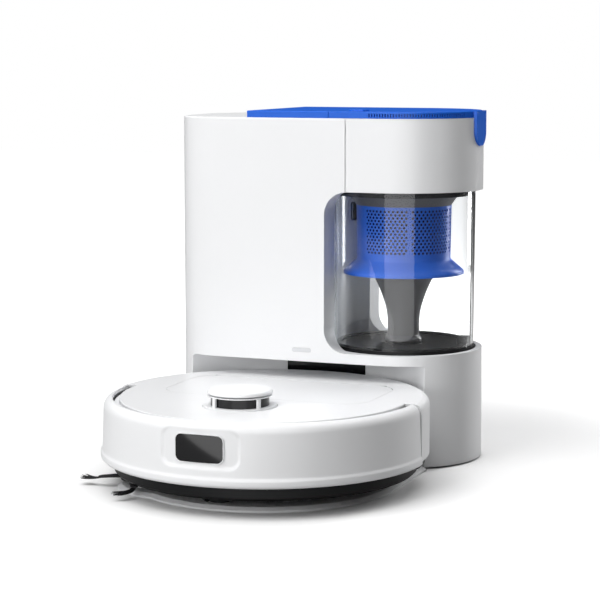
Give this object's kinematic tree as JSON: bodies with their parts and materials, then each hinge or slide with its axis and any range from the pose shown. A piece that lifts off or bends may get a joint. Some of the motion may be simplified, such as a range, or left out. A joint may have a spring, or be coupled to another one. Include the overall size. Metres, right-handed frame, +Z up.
{
  "type": "robot vacuum",
  "caption": "Round robot vacuum with laser turret, front bumper and brushes, docked in a tall self-emptying station with a clear lift-out dust canister.",
  "frame": {"origin": "on the floor on the dock's centre line, half way through the station's depth", "axes": "+Z up, -Y towards the robot and the front, +X towards the canister"},
  "size_m": [0.357, 0.4587, 0.3915],
  "materials": {
    "white_shell": "satin",
    "light_grey": "satin",
    "dark_grey": "satin",
    "cone_grey": "satin",
    "blue": "satin",
    "clear": "clear polished",
    "gloss_black": "gloss",
    "rubber_black": "matte",
    "tyre_rubber": "matte",
    "steel": "brushed",
    "motor_case": "satin",
    "filter_media": "pleated",
    "board_green": "solder mask",
    "brass_contact": "satin",
    "bristle": "matte",
    "status_lens": "gloss"
  },
  "bodies": {
    "station": {"station_housing": "white_shell", "station_rear_cover": "white_shell", "power_inlet": "dark_grey", "housing_screws": "steel", "base_plate": "light_grey", "station_feet": "rubber_black", "docking_ramp": "light_grey", "charging_contacts": "brass_contact", "dock_window": "gloss_black", "indicator_lens": "status_lens", "port_gasket": "rubber_black", "inlet_gasket": "light_grey", "air_duct": "dark_grey", "suction_motor": "motor_case", "station_circuit_board": "board_green", "top_panel": "blue"},
    "impeller": {"motor_impeller": "dark_grey"},
    "dust_canister": {"canister_head": "white_shell", "canister_cup": "clear", "cup_seal": "rubber_black", "cone_collar": "cone_grey", "filter_shroud": "blue", "cyclone_cone": "cone_grey", "canister_bottom_lid": "dark_grey", "hepa_filter": "filter_media"},
    "filter_lid": {"filter_lid": "blue", "button_spring": "steel"},
    "release_button": {"release_button": "blue"},
    "robot": {"robot_chassis": "dark_grey", "wheel_wells": "dark_grey", "brush_housing": "dark_grey", "brush_cover": "light_grey", "side_brush_gearbox": "dark_grey", "robot_contacts": "brass_contact", "battery_pack": "dark_grey", "main_board": "board_green", "suction_fan": "dark_grey", "dust_bin": "light_grey", "bin_filter": "filter_media", "robot_deck": "white_shell", "lid_hinge_pin": "steel", "inner_tray": "light_grey", "lidar_base": "white_shell", "lidar_cage": "white_shell", "lidar_window": "gloss_black"},
    "bumper": {"bumper": "white_shell", "bumper_window": "gloss_black"},
    "deck_lid": {"top_lid": "white_shell"},
    "turret_cap": {"turret_cap": "white_shell"},
    "lidar_rotor": {"lidar_rotor": "dark_grey"},
    "left_suspension": {"suspension_arm_left": "dark_grey"},
    "left_wheel": {"wheel_hub_left": "light_grey", "tyre_left": "tyre_rubber"},
    "right_suspension": {"suspension_arm_right": "dark_grey"},
    "right_wheel": {"wheel_hub_right": "light_grey", "tyre_right": "tyre_rubber"},
    "caster": {"caster_fork": "dark_grey"},
    "caster_wheel": {"caster_wheel": "rubber_black"},
    "side_brush": {"side_brush": "bristle"},
    "main_brush": {"main_brush": "bristle"}
  },
  "joints": [
    {"name": "impeller_spin", "type": "hinge", "parent": "station", "child": "impeller", "pos_m": [-0.08, 0, 0.212], "axis": [0, 0, 1], "continuous": true},
    {"name": "canister_lift", "type": "slide", "parent": "station", "child": "dust_canister", "axis": [0, 0, 1], "range_m": [0, 0.28]},
    {"name": "filter_lid_lift", "type": "slide", "parent": "dust_canister", "child": "filter_lid", "axis": [0, 0, 1], "range_m": [0, 0.06]},
    {"name": "release_button_press", "type": "slide", "parent": "filter_lid", "child": "release_button", "axis": [0, 0, -1], "range_m": [0, 0.0015], "stiffness_N_per_m": 900, "springref_m": -0.0006, "deforming": ["button_spring"]},
    {"name": "robot_drive", "type": "slide", "parent": "station", "child": "robot", "axis": [0, -1, 0], "range_m": [0, 0.45]},
    {"name": "bumper_press", "type": "slide", "parent": "robot", "child": "bumper", "axis": [0, 1, 0], "range_m": [0, 0.0018], "stiffness_N_per_m": 600, "springref_m": -0.0006},
    {"name": "deck_lid_hinge", "type": "hinge", "parent": "robot", "child": "deck_lid", "pos_m": [0, -0.102, 0.092], "axis": [-1, 0, 0], "range_deg": [0, 80]},
    {"name": "turret_cap_press", "type": "slide", "parent": "robot", "child": "turret_cap", "axis": [0, 0, -1], "range_m": [0, 0.0012], "stiffness_N_per_m": 900, "springref_m": -0.0006},
    {"name": "lidar_spin", "type": "hinge", "parent": "robot", "child": "lidar_rotor", "pos_m": [0, -0.2637, 0.095], "axis": [0, 0, 1], "continuous": true},
    {"name": "left_suspension_swing", "type": "hinge", "parent": "robot", "child": "left_suspension", "pos_m": [-0.1085, -0.24, 0.046], "axis": [1, 0, 0], "range_deg": [0, 6], "stiffness_Nm_per_rad": 4, "springref_deg": -14.32},
    {"name": "left_wheel_spin", "type": "hinge", "parent": "left_suspension", "child": "left_wheel", "pos_m": [-0.113, -0.195, 0.0403], "axis": [1, 0, 0], "continuous": true},
    {"name": "right_suspension_swing", "type": "hinge", "parent": "robot", "child": "right_suspension", "pos_m": [0.1085, -0.24, 0.046], "axis": [1, 0, 0], "range_deg": [0, 6], "stiffness_Nm_per_rad": 4, "springref_deg": -14.32},
    {"name": "right_wheel_spin", "type": "hinge", "parent": "right_suspension", "child": "right_wheel", "pos_m": [0.113, -0.195, 0.0403], "axis": [1, 0, 0], "continuous": true},
    {"name": "caster_swivel", "type": "hinge", "parent": "robot", "child": "caster", "pos_m": [0, -0.32, 0.03], "axis": [0, 0, 1], "continuous": true},
    {"name": "caster_wheel_spin", "type": "hinge", "parent": "caster", "child": "caster_wheel", "pos_m": [0, -0.32, 0.0153], "axis": [1, 0, 0], "continuous": true},
    {"name": "side_brush_spin", "type": "hinge", "parent": "robot", "child": "side_brush", "pos_m": [-0.118, -0.275, 0.015], "axis": [0, 0, 1], "continuous": true},
    {"name": "main_brush_spin", "type": "hinge", "parent": "robot", "child": "main_brush", "pos_m": [0, -0.153, 0.023], "axis": [1, 0, 0], "continuous": true}
  ]
}
